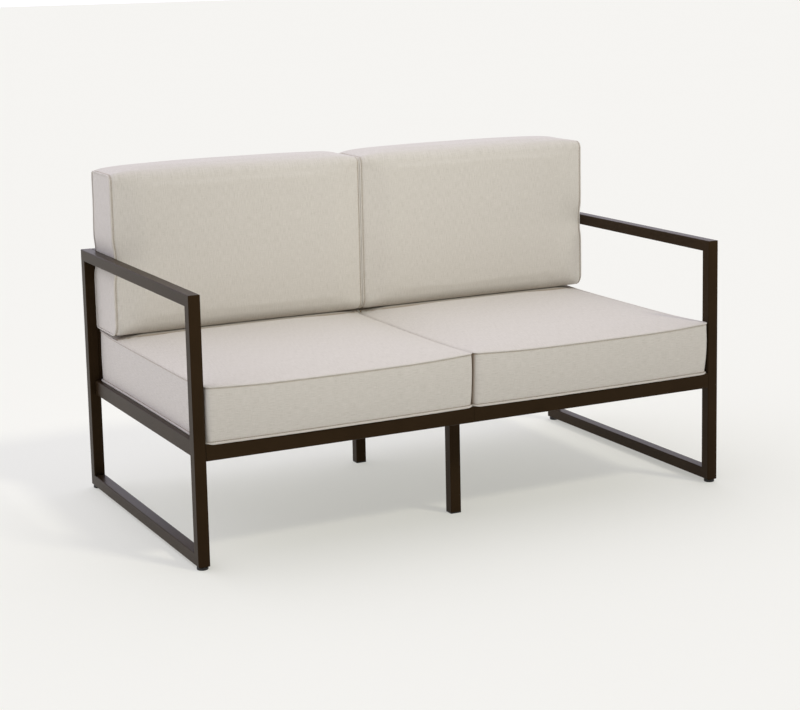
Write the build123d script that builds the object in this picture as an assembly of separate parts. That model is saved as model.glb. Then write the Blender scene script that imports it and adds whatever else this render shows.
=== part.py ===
from build123d import *
from math import sqrt
import os

# Garden sofa for two: a bolted tube frame with loose box cushions.
# X runs along the sofa's width, with left and right as a viewer in front sees them,
# -Y is the front and +Z is up. The origin is on the floor, at the middle of the
# sofa's outline. Every length is in millimetres.

# Overall sizes
overall_width = 1405.0
overall_depth = 785.0
arm_height = 623.0
back_height = 841.0

# Frame tubes
tube_side = 28.0
tube_wall = 1.5
edge_radius = 2.5
seat_rail_bottom = 248.0
seat_rail_height = 38.0
ledger_width = 14.0
inner_rail_width = 20.0
centre_joint_gap = 0.6

# Seat slats
seat_slat_count = 6
seat_slat_width = 45.0
seat_slat_thickness = 12.0
slat_wall = 1.2

# Back panels
back_bottom_rail_height = 20.0
back_slat_count = 4
back_slat_width = 30.0
back_slat_thickness = 12.0

# Centre legs
front_leg_setback = 112.0
rear_leg_setback = 138.0
leg_plate_width = 38.0
leg_plate_length = 66.0
leg_plate_thickness = 3.0
leg_cap_thickness = 3.0
leg_cap_plug_length = 12.0

# Levelling feet
foot_height = 8.0
foot_radius = 13.2
foot_edge_radius = 1.5
foot_seat_gap = 0.1
foot_stud_radius = 4.0
foot_stud_length = 24.0
foot_stud_embedded = 4.0
insert_flange_radius = 7.0
insert_flange_thickness = 1.0
insert_body_radius = 5.5
insert_body_length = 13.0

# Frame bolts, with the same thread everywhere
bolt_radius = 3.0
frame_bolt_length = 30.0
centre_bolt_length = 50.0
bolt_head_radius = 5.25
bolt_head_height = 3.3
bolt_socket_radius = 2.3
bolt_socket_depth = 2.0
washer_radius = 6.0
washer_thickness = 1.2
nut_radius = 5.8
nut_height = 5.0
rivet_nut_radius = 4.5
rivet_nut_bulb_radius = 6.0
rivet_nut_bulb_length = 4.0
rivet_nut_length = 10.0
seat_bolt_spread = 500.0
centre_bolt_spread = 400.0
back_bolt_inset = 70.0

# Tapping screws
screw_radius = 2.4
screw_length = 12.0
long_screw_length = 32.0
screw_head_radius = 4.7
screw_head_height = 3.0
leg_screw_spread = 48.0

# Seat cushions
seat_edge_height = 128.7
seat_crown = 15.0
seat_front_setback = 6.0
seat_front_bulge = 6.0

# Back cushions
back_edge_thickness = 155.0
back_front_bulge = 18.0
back_top_crown = 15.0
back_shoulder_radius = 24.0

# Both kinds of cushion
cushion_draw_in = 3.0
cushion_corner_radius = 18.0
wadding_thickness = 12.0

# Clearances
fit_clearance = 0.05
soft_clearance = 0.3
side_cushion_gap = 1.5
cushion_gap = 2.0
back_panel_gap = 0.4
core_clearance = 0.4
overrun = 5.0

# How full a cushion is at shares of its width, from 0 at the seam to 1 at the crest
crown_place_shares = (0.0, 0.2, 0.5, 0.8, 1.0)
crown_fill_shares = (0.2, 0.72, 1.0, 0.72, 0.2)

# Places worked out from the sizes
left_face = -overall_width / 2
front_face = -overall_depth / 2
rear_face = overall_depth / 2
post_inner = left_face + tube_side
front_post_back = front_face + tube_side
rear_post_front = rear_face - tube_side
seat_rail_top = seat_rail_bottom + seat_rail_height
seat_rail_middle = seat_rail_bottom + seat_rail_height / 2
plate_bottom = seat_rail_bottom - leg_plate_thickness
half_end = -centre_joint_gap / 2
outer_rail_inner = post_inner + inner_rail_width
inner_rail_outer = half_end - inner_rail_width
back_rail_bottom = arm_height - tube_side
back_bottom_rail_top = seat_rail_top + back_bottom_rail_height
panel_middle_y = rear_face - tube_side / 2
back_bolt_heights = (back_bottom_rail_top + back_bolt_inset, back_rail_bottom - back_bolt_inset)
mirror_plane = Plane.YZ


def save(name, shape):
    export_step(shape, "parts/" + name + ".step")


def save_pair(name, shape):
    save("left_" + name, shape)
    save("right_" + name, mirror(shape, about=mirror_plane))


def block(low, high):
    middle = [(a + b) / 2 for a, b in zip(low, high)]
    size = [b - a for a, b in zip(low, high)]
    return Pos(*middle) * Box(*size)


def bar(low, high, axis, wall):
    # A rectangular tube with rounded long edges and open ends, along one axis
    outer = block(low, high)
    outer = fillet(outer.edges().filter_by(axis), edge_radius)
    along = tuple(axis.direction)
    inner_low = [a - overrun if d else a + wall for a, d in zip(low, along)]
    inner_high = [b + overrun if d else b - wall for b, d in zip(high, along)]
    inner = block(inner_low, inner_high)
    inner = fillet(inner.edges().filter_by(axis), edge_radius / 2)
    return outer - inner


def rod(start, direction, radius, length):
    return Plane(origin=start, z_dir=direction) * Cylinder(
        radius, length, align=(Align.CENTER, Align.CENTER, Align.MIN)
    )


def side_prism(points):
    # A prism across the left side frame, from an outline in Y and Z
    outline = Polyline(*[(left_face - overrun, y, z) for y, z in points], close=True)
    return extrude(make_face(outline), amount=tube_side + 2 * overrun, dir=(1, 0, 0))


# Where the fasteners go on the left half
seat_bolt_places = [y * seat_bolt_spread / 2 for y in (-1, 1)]
centre_bolt_places = [y * centre_bolt_spread / 2 for y in (-1, 1)]
leg_places = (front_face + front_leg_setback, rear_face - rear_leg_setback)
foot_places = (front_face + tube_side / 2, rear_face - tube_side / 2)
foot_x = left_face + tube_side / 2
back_slat_pitch = (inner_rail_outer - outer_rail_inner) / (back_slat_count + 1)
back_screw_places = (outer_rail_inner + back_slat_pitch / 2, inner_rail_outer - back_slat_pitch / 2)
leg_screw_x = (inner_rail_outer + half_end) / 2
leg_screw_places = [
    (leg_y + y * leg_screw_spread / 2) for leg_y in leg_places for y in (-1, 1)
]


# Side frames: each is a welded rectangle of mitred tube with a ledger rail for the seat


def front_post():
    post = bar((left_face, front_face, foot_height),
               (post_inner, front_post_back, arm_height), Axis.Z, tube_wall)
    ends = [
        (front_face, foot_height),
        (front_post_back, foot_height + tube_side),
        (front_post_back, arm_height - tube_side),
        (front_face, arm_height),
    ]
    return post & side_prism(ends)


def rear_post():
    post = bar((left_face, rear_post_front, foot_height),
               (post_inner, rear_face, arm_height), Axis.Z, tube_wall)
    ends = [
        (rear_face, foot_height),
        (rear_post_front, foot_height + tube_side),
        (rear_post_front, arm_height - tube_side),
        (rear_face, arm_height),
    ]
    post = post & side_prism(ends)
    for z in back_bolt_heights:
        post -= rod((post_inner - tube_wall - overrun, panel_middle_y, z), (1, 0, 0),
                    rivet_nut_radius + fit_clearance, tube_wall + 2 * overrun)
    return post


def arm_rail():
    rail = bar((left_face, front_face, back_rail_bottom),
               (post_inner, rear_face, arm_height), Axis.Y, tube_wall)
    ends = [
        (front_face, arm_height),
        (front_post_back, back_rail_bottom),
        (rear_post_front, back_rail_bottom),
        (rear_face, arm_height),
    ]
    return rail & side_prism(ends)


def bottom_rail():
    top = foot_height + tube_side
    rail = bar((left_face, front_face, foot_height), (post_inner, rear_face, top), Axis.Y, tube_wall)
    ends = [
        (front_face, foot_height),
        (front_post_back, top),
        (rear_post_front, top),
        (rear_face, foot_height),
    ]
    rail = rail & side_prism(ends)
    for y in foot_places:
        rail -= rod((foot_x, y, 0), (0, 0, 1),
                    insert_body_radius + fit_clearance, foot_height + tube_wall + overrun)
    return rail


def ledger_rail():
    rail = bar(
        (post_inner - ledger_width, front_post_back, seat_rail_bottom),
        (post_inner, rear_post_front, seat_rail_top), Axis.Y, tube_wall)
    for y in seat_bolt_places:
        rail -= rod((post_inner - tube_wall - overrun, y, seat_rail_middle), (1, 0, 0),
                    rivet_nut_radius + fit_clearance, tube_wall + 2 * overrun)
    return rail


# Seat frames: one for each half, bolted to the ledger rails and to each other


def seat_front_rail():
    return bar((post_inner, front_face, seat_rail_bottom),
               (half_end, front_post_back, seat_rail_top), Axis.X, tube_wall)


def seat_rear_rail():
    rail = bar((post_inner, rear_post_front, seat_rail_bottom),
               (half_end, rear_face, seat_rail_top), Axis.X, tube_wall)
    for x in back_screw_places:
        rail -= rod((x, panel_middle_y, seat_rail_top - tube_wall - overrun), (0, 0, 1),
                    screw_radius + fit_clearance, tube_wall + 2 * overrun)
    return rail


def seat_outer_rail():
    rail = bar((post_inner, front_post_back, seat_rail_bottom),
               (outer_rail_inner, rear_post_front, seat_rail_top), Axis.Y, tube_wall)
    for y in seat_bolt_places:
        rail -= rod((post_inner - overrun, y, seat_rail_middle), (1, 0, 0),
                    bolt_radius + fit_clearance, inner_rail_width + 2 * overrun)
    return rail


def seat_inner_rail():
    rail = bar((inner_rail_outer, front_post_back, seat_rail_bottom),
               (half_end, rear_post_front, seat_rail_top), Axis.Y, tube_wall)
    for y in centre_bolt_places:
        rail -= rod((inner_rail_outer - overrun, y, seat_rail_middle), (1, 0, 0),
                    bolt_radius + fit_clearance, inner_rail_width + 2 * overrun)
    for y in leg_screw_places:
        rail -= rod((leg_screw_x, y, seat_rail_bottom - overrun), (0, 0, 1),
                    screw_radius + fit_clearance, tube_wall + 2 * overrun)
    return rail


def seat_slats():
    pitch = (rear_post_front - front_post_back) / (seat_slat_count + 1)
    slats = []
    for i in range(seat_slat_count):
        y = front_post_back + (i + 1) * pitch
        slats.append(bar(
            (outer_rail_inner, y - seat_slat_width / 2, seat_rail_top - seat_slat_thickness),
            (inner_rail_outer, y + seat_slat_width / 2, seat_rail_top), Axis.X, slat_wall))
    return Compound(children=slats)


# Back panels: one for each half, between a rear post and the middle


def back_top_rail():
    return bar((post_inner, rear_post_front, back_rail_bottom),
               (half_end, rear_face, arm_height), Axis.X, tube_wall)


def back_bottom_rail():
    rail = bar((post_inner, rear_post_front, seat_rail_top),
               (half_end, rear_face, back_bottom_rail_top), Axis.X, tube_wall)
    for x in back_screw_places:
        rail -= rod((x, panel_middle_y, seat_rail_top - overrun), (0, 0, 1),
                    screw_radius + fit_clearance, back_bottom_rail_height + 2 * overrun)
    return rail


def back_outer_upright():
    upright = bar((post_inner, rear_post_front, back_bottom_rail_top),
                  (outer_rail_inner, rear_face, back_rail_bottom), Axis.Z, tube_wall)
    for z in back_bolt_heights:
        upright -= rod((post_inner - overrun, panel_middle_y, z), (1, 0, 0),
                       bolt_radius + fit_clearance, inner_rail_width + 2 * overrun)
    return upright


def back_inner_upright():
    upright = bar((inner_rail_outer, rear_post_front, back_bottom_rail_top),
                  (half_end, rear_face, back_rail_bottom), Axis.Z, tube_wall)
    for z in back_bolt_heights:
        upright -= rod((inner_rail_outer - overrun, panel_middle_y, z), (1, 0, 0),
                       bolt_radius + fit_clearance, inner_rail_width + 2 * overrun)
    return upright


def back_slats():
    slats = []
    for i in range(back_slat_count):
        x = outer_rail_inner + (i + 1) * back_slat_pitch
        slats.append(bar(
            (x - back_slat_width / 2, panel_middle_y - back_slat_thickness / 2, back_bottom_rail_top),
            (x + back_slat_width / 2, panel_middle_y + back_slat_thickness / 2, back_rail_bottom),
            Axis.Z, slat_wall))
    return Compound(children=slats)


# Centre legs: each hangs from a plate screwed up into both inner rails


def leg_tube(y):
    return bar((-tube_side / 2, y - tube_side / 2, leg_cap_thickness),
               (tube_side / 2, y + tube_side / 2, plate_bottom), Axis.Z, tube_wall)


def leg_plate(y):
    plate = block((-leg_plate_width / 2, y - leg_plate_length / 2, plate_bottom),
                  (leg_plate_width / 2, y + leg_plate_length / 2, seat_rail_bottom))
    for x in (leg_screw_x, -leg_screw_x):
        for end in (-1, 1):
            plate -= rod((x, y + end * leg_screw_spread / 2, plate_bottom - overrun),
                         (0, 0, 1), screw_radius + fit_clearance, leg_plate_thickness + 2 * overrun)
    return plate


def leg_cap(y):
    reach = tube_side / 2
    plug_reach = tube_side / 2 - tube_wall - fit_clearance
    base = block((-reach, y - reach, 0), (reach, y + reach, leg_cap_thickness))
    base = fillet(base.edges().filter_by(Axis.Z), edge_radius)
    plug = block((-plug_reach, y - plug_reach, leg_cap_thickness / 2),
                 (plug_reach, y + plug_reach, leg_cap_thickness + leg_cap_plug_length))
    plug = fillet(plug.edges().filter_by(Axis.Z), edge_radius)
    return base + plug


# Levelling feet: a moulded pad on a steel stud that screws into an insert in the tube


def foot_pad(y):
    pad_top = foot_height - insert_flange_thickness - foot_seat_gap
    pad = rod((foot_x, y, 0), (0, 0, 1), foot_radius, pad_top)
    pad = fillet(pad.edges().filter_by(GeomType.CIRCLE), foot_edge_radius)
    return pad - rod((foot_x, y, pad_top - foot_stud_embedded), (0, 0, 1), foot_stud_radius, foot_height)


def foot_stud(y):
    start = foot_height - insert_flange_thickness - foot_seat_gap - foot_stud_embedded
    return rod((foot_x, y, start), (0, 0, 1), foot_stud_radius, foot_stud_length)


def foot_insert(y):
    flange = rod((foot_x, y, foot_height - insert_flange_thickness), (0, 0, 1),
                 insert_flange_radius, insert_flange_thickness)
    body = rod((foot_x, y, foot_height - insert_flange_thickness / 2), (0, 0, 1),
               insert_body_radius, insert_body_length)
    return flange + body - rod((foot_x, y, 0), (0, 0, 1), foot_stud_radius + fit_clearance,
                               foot_height + insert_body_length + overrun)


# Fasteners, built for the left half and mirrored


def button_bolt(seat, direction, length):
    # The head's underside is at the seat, and the shank runs along the direction
    back = -Vector(direction)
    head = rod(seat, back, bolt_head_radius, bolt_head_height)
    rim = head.edges().filter_by(GeomType.CIRCLE).sort_by(Axis(seat, back))[-1]
    head = fillet(rim, bolt_head_height / 2)
    socket_start = Vector(seat) + back * (bolt_head_height - bolt_socket_depth)
    socket = Plane(origin=socket_start, z_dir=back) * extrude(
        RegularPolygon(bolt_socket_radius, 6), amount=bolt_head_height)
    return head - socket + rod(seat, direction, bolt_radius, length)


def pan_screw(seat, direction, length):
    back = -Vector(direction)
    head = rod(seat, back, screw_head_radius, screw_head_height)
    rim = head.edges().filter_by(GeomType.CIRCLE).sort_by(Axis(seat, back))[-1]
    head = fillet(rim, screw_head_height / 2)
    return head + rod(seat, direction, screw_radius, length)


def washer(start, direction):
    disc = rod(start, direction, washer_radius, washer_thickness)
    return disc - rod(start, direction, bolt_radius + fit_clearance, washer_thickness)


def rivet_nut(y, z):
    # The neck fills the hole in the wall and the bulb grips behind it
    back = (-1, 0, 0)
    neck = rod((post_inner, y, z), back, rivet_nut_radius, rivet_nut_length)
    bulb = rod((post_inner - tube_wall, y, z), back, rivet_nut_bulb_radius, rivet_nut_bulb_length)
    return neck + bulb - rod((post_inner, y, z), back, bolt_radius + fit_clearance, rivet_nut_length)


def hex_nut(y, z):
    start = (-inner_rail_outer + washer_thickness, y, z)
    nut = Plane(origin=start, z_dir=(1, 0, 0)) * extrude(RegularPolygon(nut_radius, 6), amount=nut_height)
    return nut - rod(start, (1, 0, 0), bolt_radius + fit_clearance, nut_height)


def with_mirror(shapes):
    return shapes + [mirror(shape, about=mirror_plane) for shape in shapes]


frame_bolt_places = [(y, seat_rail_middle) for y in seat_bolt_places]
frame_bolt_places += [(panel_middle_y, z) for z in back_bolt_heights]
centre_bolt_spots = [(y, seat_rail_middle) for y in centre_bolt_places]
centre_bolt_spots += [(panel_middle_y, z) for z in back_bolt_heights]


def save_fasteners():
    frame_seat = outer_rail_inner + washer_thickness
    centre_seat = inner_rail_outer - washer_thickness
    bolts = [button_bolt((frame_seat, y, z), (-1, 0, 0), frame_bolt_length) for y, z in frame_bolt_places]
    save("frame_bolts", Compound(children=with_mirror(bolts)))
    washers = [washer((outer_rail_inner, y, z), (1, 0, 0)) for y, z in frame_bolt_places]
    washers += [washer((inner_rail_outer, y, z), (-1, 0, 0)) for y, z in centre_bolt_spots]
    save("washers", Compound(children=with_mirror(washers)))
    nuts = [rivet_nut(y, z) for y, z in frame_bolt_places]
    save("rivet_nuts", Compound(children=with_mirror(nuts)))
    centre_bolts = [
        button_bolt((centre_seat, y, z), (1, 0, 0), centre_bolt_length)
        for y, z in centre_bolt_spots
    ]
    save("centre_bolts", Compound(children=centre_bolts))
    save("centre_nuts", Compound(children=[hex_nut(y, z) for y, z in centre_bolt_spots]))
    leg_screws = [
        pan_screw((leg_screw_x, y, plate_bottom), (0, 0, 1), screw_length)
        for y in leg_screw_places
    ]
    save("leg_screws", Compound(children=with_mirror(leg_screws)))
    back_screws = [
        pan_screw((x, panel_middle_y, back_bottom_rail_top), (0, 0, -1), long_screw_length)
        for x in back_screw_places
    ]
    save("back_panel_screws", Compound(children=with_mirror(back_screws)))
    inserts = [foot_insert(y) for y in foot_places]
    save("foot_inserts", Compound(children=with_mirror(inserts)))


# Cushions: a cover with its wadding round a foam core, crowned and drawn in between corners


def trimming_prism(x0, x1, fixed, free, beyond, direction, amount, plane):
    # Trims a crowned form to length: its ends bow inwards between rounded corners.
    # The fixed side is flat and the free side clears the crown, so they only round the corners.
    middle = (x0 + x1) / 2
    level = (fixed + free) / 2
    sides = [
        Line((x0, fixed), (x1, fixed)),
        ThreePointArc((x1, fixed), (x1 - cushion_draw_in, level), (x1, free)),
        ThreePointArc((x1, free), (middle, free + beyond), (x0, free)),
        ThreePointArc((x0, free), (x0 + cushion_draw_in, level), (x0, fixed)),
    ]
    face = make_face(sides)
    return extrude(plane * fillet(face.vertices(), cushion_corner_radius), amount=amount, dir=direction)


def crowned_loft(section, x0, x1, *sizes):
    length = x1 - x0 + 2 * overrun
    return loft([
        section(x0 - overrun + share * length, fill, *sizes)
        for share, fill in zip(crown_place_shares, crown_fill_shares)
    ])


def seat_section(x, fill, y0, y1, z0, z1):
    # The cushion from the side: a flat base, a bulging front and a crowned top
    front = y0 + cushion_draw_in * fill
    top_y = (front + y1) / 2
    level = (z0 + z1) / 2
    return make_face([
        Line((x, y1, z0), (x, front, z0)),
        ThreePointArc((x, front, z0), (x, front - seat_front_bulge * fill, level), (x, front, z1)),
        ThreePointArc((x, front, z1), (x, top_y, z1 + seat_crown * fill), (x, y1, z1)),
        Line((x, y1, z1), (x, y1, z0)),
    ])


def seat_form(inset):
    x0 = post_inner + side_cushion_gap + inset
    x1 = -cushion_gap / 2 - inset
    y0 = front_face + seat_front_setback + inset
    y1 = rear_post_front - back_panel_gap - inset
    z0 = seat_rail_top + soft_clearance + inset
    z1 = seat_rail_top + soft_clearance + seat_edge_height - inset
    crowned = crowned_loft(seat_section, x0, x1, y0, y1 + overrun, z0, z1)
    free = y0 - seat_front_bulge * crown_fill_shares[0]
    start = Plane(origin=(0, 0, z0 - overrun))
    height = z1 - z0 + seat_crown + 2 * overrun
    return crowned & trimming_prism(x0, x1, y1, free, -seat_front_bulge - overrun, (0, 0, 1), height, start)


def seat_crest_under_back():
    # The height of the seat cushion's top where the flat base of the back cushion starts
    depth = rear_post_front - back_panel_gap - front_face - seat_front_setback + overrun
    share = (back_edge_thickness - back_shoulder_radius + overrun) / depth
    return seat_rail_top + soft_clearance + seat_edge_height + 4 * seat_crown * share * (1 - share)


def back_section(x, fill, y0, y1, z0, z1):
    # The cushion from the side: a straight back, a bulging front and rounded shoulders
    front = y0 + cushion_draw_in * fill
    turn = front + back_shoulder_radius
    level = (z0 + z1) / 2
    sink = back_shoulder_radius * (1 - sqrt(1 / 2))
    upper = z1 - back_shoulder_radius
    lower = z0 + back_shoulder_radius
    return make_face([
        Line((x, y1, z0), (x, turn, z0)),
        ThreePointArc((x, turn, z0), (x, front + sink, z0 + sink), (x, front, lower)),
        ThreePointArc((x, front, lower), (x, front - back_front_bulge * fill, level), (x, front, upper)),
        ThreePointArc((x, front, upper), (x, front + sink, z1 - sink), (x, turn, z1)),
        ThreePointArc((x, turn, z1), (x, (turn + y1) / 2, z1 + back_top_crown * fill), (x, y1, z1)),
        Line((x, y1, z1), (x, y1, z0)),
    ])


def back_form(inset):
    x0 = post_inner + side_cushion_gap + inset
    x1 = -cushion_gap / 2 - inset
    y1 = rear_post_front - back_panel_gap - inset
    y0 = rear_post_front - back_panel_gap - back_edge_thickness + inset
    z0 = seat_crest_under_back() + soft_clearance + inset
    z1 = back_height - back_top_crown - inset
    crowned = crowned_loft(back_section, x0, x1, y0, y1, z0, z1)
    free = z1 + back_top_crown * crown_fill_shares[0]
    beyond = back_top_crown + overrun
    start = Plane(origin=(0, y1 + overrun, 0), x_dir=(1, 0, 0), z_dir=(0, -1, 0))
    depth = y1 - y0 + back_front_bulge + 2 * overrun
    return crowned & trimming_prism(x0, x1, z0 - overrun, free, beyond, (0, -1, 0), depth, start)


def save_cushions():
    save_pair("seat_cushion_cover", seat_form(0) - seat_form(wadding_thickness))
    save_pair("seat_cushion_core", seat_form(wadding_thickness + core_clearance))
    save_pair("back_cushion_cover", back_form(0) - back_form(wadding_thickness))
    save_pair("back_cushion_core", back_form(wadding_thickness + core_clearance))


def save_frame():
    save_pair("front_post", front_post())
    save_pair("rear_post", rear_post())
    save_pair("arm_rail", arm_rail())
    save_pair("bottom_rail", bottom_rail())
    save_pair("ledger_rail", ledger_rail())
    save_pair("seat_front_rail", seat_front_rail())
    save_pair("seat_rear_rail", seat_rear_rail())
    save_pair("seat_outer_rail", seat_outer_rail())
    save_pair("seat_inner_rail", seat_inner_rail())
    save_pair("seat_slats", seat_slats())
    save_pair("back_top_rail", back_top_rail())
    save_pair("back_bottom_rail", back_bottom_rail())
    save_pair("back_outer_upright", back_outer_upright())
    save_pair("back_inner_upright", back_inner_upright())
    save_pair("back_slats", back_slats())
    for end, y in zip(("front", "rear"), leg_places):
        save(end + "_centre_leg", leg_tube(y))
        save(end + "_centre_leg_plate", leg_plate(y))
        save(end + "_centre_leg_cap", leg_cap(y))


def save_feet():
    for end, y in zip(("front", "rear"), foot_places):
        save_pair(end + "_foot_pad", foot_pad(y))
        save_pair(end + "_foot_stud", foot_stud(y))


os.makedirs("parts", exist_ok=True)
save_frame()
save_feet()
save_fasteners()
save_cushions()
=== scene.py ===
from math import cos, exp, pi, radians, sin, sqrt, tanh

import bpy
from mathutils import Matrix, Vector, noise


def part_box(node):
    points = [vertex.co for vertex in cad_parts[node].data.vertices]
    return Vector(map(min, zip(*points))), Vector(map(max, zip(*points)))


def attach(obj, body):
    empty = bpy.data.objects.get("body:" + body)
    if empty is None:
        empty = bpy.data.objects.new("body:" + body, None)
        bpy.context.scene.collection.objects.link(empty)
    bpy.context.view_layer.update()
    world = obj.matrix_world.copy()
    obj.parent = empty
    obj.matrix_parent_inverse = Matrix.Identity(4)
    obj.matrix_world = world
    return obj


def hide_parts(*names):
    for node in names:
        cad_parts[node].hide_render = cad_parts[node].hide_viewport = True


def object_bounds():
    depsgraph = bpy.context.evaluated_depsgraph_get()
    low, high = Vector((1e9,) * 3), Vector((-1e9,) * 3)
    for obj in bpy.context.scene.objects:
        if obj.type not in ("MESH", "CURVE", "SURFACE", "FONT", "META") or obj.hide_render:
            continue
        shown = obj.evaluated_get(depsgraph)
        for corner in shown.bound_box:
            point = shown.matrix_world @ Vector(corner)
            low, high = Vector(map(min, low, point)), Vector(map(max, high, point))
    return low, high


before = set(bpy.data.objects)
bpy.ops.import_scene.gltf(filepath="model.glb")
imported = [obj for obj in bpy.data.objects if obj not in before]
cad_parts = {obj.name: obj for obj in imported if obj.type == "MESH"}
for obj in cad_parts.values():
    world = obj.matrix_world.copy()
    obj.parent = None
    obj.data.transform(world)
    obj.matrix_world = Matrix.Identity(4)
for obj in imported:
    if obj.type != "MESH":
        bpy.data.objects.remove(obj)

bl_info = {
    "name": "Garden Sofa",
    "version": (1, 0, 0),
    "blender": (4, 5, 0),
    "location": "View3D > Sidebar > Garden Sofa",
    "description": "Dresses the garden sofa's frame with coated tubes and sewn cushions",
    "category": "Object",
}

MM = 0.001
CAD_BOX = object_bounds()
SIDES = ("left", "right")
ENDS = ("front", "rear")


def linear(hex_colour):
    """Turns an sRGB hex colour into the linear RGBA that Blender's sockets take."""
    channels = [int(hex_colour[i:i + 2], 16) / 255 for i in (1, 3, 5)]
    return tuple(c / 12.92 if c <= 0.04045 else ((c + 0.055) / 1.055) ** 2.4
                 for c in channels) + (1.0,)


# Settings that a user would change


class SofaCoverSettings(bpy.types.PropertyGroup):
    """The cushion covers: cloth, thread and how full they are."""
    yarn: bpy.props.FloatVectorProperty(
        name="Yarn", description="Colour of the cover's main yarn",
        subtype="COLOR", size=4, min=0, max=1, default=linear("#D2CDC6"))
    pale_yarn: bpy.props.FloatVectorProperty(
        name="Pale Yarn", description="Colour of the thick, pale stretches of yarn",
        subtype="COLOR", size=4, min=0, max=1, default=linear("#DDD8D1"))
    dark_yarn: bpy.props.FloatVectorProperty(
        name="Dark Yarn", description="Colour of the thin stretches and the gaps between threads",
        subtype="COLOR", size=4, min=0, max=1, default=linear("#C0BBB1"))
    # Painted shade: this brown is painted into the seams, between the two cushions and where a back
    # cushion stands on its seat, in place of the shade there
    painted_seam_shade: bpy.props.FloatVectorProperty(
        name="Seam Shade", description="Colour of the shaded cloth that is folded into a seam",
        subtype="COLOR", size=4, min=0, max=1, default=linear("#86683F"))
    thread_pitch: bpy.props.FloatProperty(
        name="Thread Pitch", description="Distance from one thread of the weave to the next",
        subtype="DISTANCE", unit="LENGTH", default=1.1 * MM)
    slub_width: bpy.props.FloatProperty(
        name="Slub Width", description="Width of a thick stretch of yarn",
        subtype="DISTANCE", unit="LENGTH", default=1.4 * MM)
    slub_length: bpy.props.FloatProperty(
        name="Slub Length", description="Length of a thick stretch of yarn",
        subtype="DISTANCE", unit="LENGTH", default=20 * MM)
    thread: bpy.props.FloatVectorProperty(
        name="Thread", description="Colour of the sewing thread",
        subtype="COLOR", size=4, min=0, max=1, default=linear("#A58D6C"))
    closing_thread: bpy.props.FloatVectorProperty(
        name="Closing Thread",
        description="Colour of the dark thread that closes a back cushion's ends",
        subtype="COLOR", size=4, min=0, max=1, default=linear("#5E5148"))
    welt_radius: bpy.props.FloatProperty(
        name="Welt Radius", description="Radius of the covered cord in the seams",
        subtype="DISTANCE", unit="LENGTH", default=2.2 * MM)
    swell_cap: bpy.props.FloatProperty(
        name="Swell Cap", description="The most that the filling may push the cloth out",
        subtype="DISTANCE", unit="LENGTH", default=7 * MM)


class SofaFrameSettings(bpy.types.PropertyGroup):
    """The tubes and their coating."""
    coat: bpy.props.FloatVectorProperty(
        name="Coat", description="Colour of the powder coat",
        subtype="COLOR", size=4, min=0, max=1, default=linear("#302417"))
    coat_roughness: bpy.props.FloatProperty(
        name="Coat Roughness", description="Roughness of the satin powder coat",
        subtype="FACTOR", min=0, max=1, default=0.34)
    coat_tint: bpy.props.FloatVectorProperty(
        name="Coat Tint",
        description="Colour that the brown pigment gives the coat's head-on reflections",
        subtype="COLOR", size=4, min=0, max=1, default=linear("#A88B6A"))
    coat_grain: bpy.props.FloatProperty(
        name="Coat Grain", description="Width of one bump of the cured coat",
        subtype="DISTANCE", unit="LENGTH", default=1.4 * MM)


class SofaStageSettings(bpy.types.PropertyGroup):
    """The studio: floor and light."""
    floor: bpy.props.FloatVectorProperty(
        name="Floor", description="Colour of the studio floor",
        subtype="COLOR", size=4, min=0, max=1, default=linear("#C3C4BD"))
    floor_glow: bpy.props.FloatVectorProperty(
        name="Floor Glow",
        description="Light that comes up through the floor, which softens the shadows",
        subtype="COLOR", size=4, min=0, max=1, default=linear("#A8A8A4"))
    front_sky: bpy.props.FloatVectorProperty(
        name="Front Sky", description="Light from the dim, warm side of the studio, in front",
        subtype="COLOR", size=4, min=0, max=1, default=linear("#262521"))
    rear_sky: bpy.props.FloatVectorProperty(
        name="Rear Sky", description="Light from the bright, cool wall behind and above",
        subtype="COLOR", size=4, min=0, max=1, default=linear("#F5F2FF"))
    sky_strength: bpy.props.FloatProperty(
        name="Sky Strength", description="Strength of the light from all round",
        min=0, default=1.37)
    key_strength: bpy.props.FloatProperty(
        name="Key Strength", description="Strength of the key light",
        min=0, default=0.78)
    box_strength: bpy.props.FloatProperty(
        name="Softbox Power",
        description="Power of the long softbox that is aimed at the back cushions",
        subtype="POWER", unit="POWER", min=0, default=2.6)


# Mesh helpers


def new_piece(name, points, faces, material, body, panels):
    """Makes a smooth mesh that rides on a body. Its panel coordinates are metres along the cloth."""
    mesh = bpy.data.meshes.new(name)
    mesh.from_pydata([tuple(p) for p in points], [], faces)
    layer = mesh.uv_layers.new(name="panel")
    layer.data.foreach_set("uv", [c for corner in panels for c in corner])
    mesh.materials.append(material)
    mesh.polygons.foreach_set("use_smooth", [True] * len(mesh.polygons))
    mesh.update()
    piece = bpy.data.objects.new(name, mesh)
    bpy.context.scene.collection.objects.link(piece)
    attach(piece, body)
    return piece


def lerp(a, b, share):
    """The value a share of the way from a to b."""
    return a + (b - a) * share


def clamped(share):
    """A share kept between 0 and 1."""
    return min(max(share, 0.0), 1.0)


def added_lengths(path):
    """How far along a path each of its points lies."""
    lengths = [0.0]
    for a, b in zip(path, path[1:]):
        lengths.append(lengths[-1] + (b - a).length)
    return lengths


def eased(share, pull):
    """Spreads shares from 0 to 1 so that they crowd towards both ends."""
    return share - pull * sin(2 * pi * share) / (2 * pi)


def resampled(path, steps, pull):
    """Points along a path, steps apart in equal shares of its length, closer together at its ends."""
    lengths = added_lengths(path)
    points, k = [], 0
    for i in range(steps + 1):
        goal = eased(i / steps, pull) * lengths[-1]
        while k < len(path) - 2 and lengths[k + 1] < goal:
            k += 1
        share = (goal - lengths[k]) / max(lengths[k + 1] - lengths[k], 1e-9)
        points.append(path[k].lerp(path[k + 1], clamped(share)))
    return points


ARC_STEPS = 8
RUN_STEPS = 60
BAND_PULL = 0.35


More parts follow.
